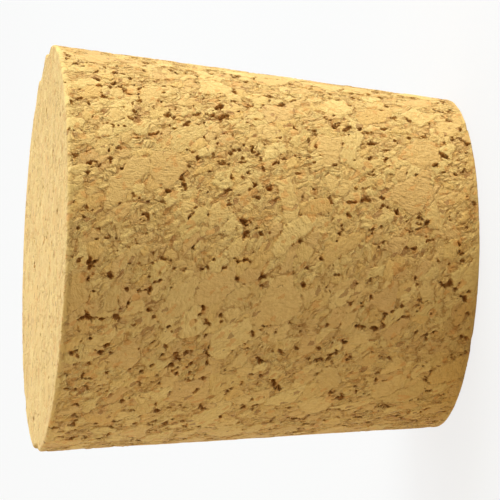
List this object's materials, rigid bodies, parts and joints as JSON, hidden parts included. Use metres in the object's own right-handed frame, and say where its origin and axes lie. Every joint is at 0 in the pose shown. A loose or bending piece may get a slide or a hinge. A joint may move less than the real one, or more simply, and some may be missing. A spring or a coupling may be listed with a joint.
{
  "type": "cork stopper",
  "caption": "Tapered round stopper of bonded cork granules, with flat ends and barely rounded, lightly chipped rims.",
  "frame": {"origin": "centre of the small end face, on the surface that the stopper stands on", "axes": "+Z along the axis from the small end to the large end; +X and +Y are any two directions across it, with +X towards the largest chipped stretch of the large rim"},
  "size_m": [0.0379, 0.038, 0.038],
  "materials": {
    "cork": "ground bonded cork: straw and tan granules, matt, with small dark hollows between them"
  },
  "bodies": {
    "root": {"cork_stopper": "cork"}
  },
  "joints": []
}
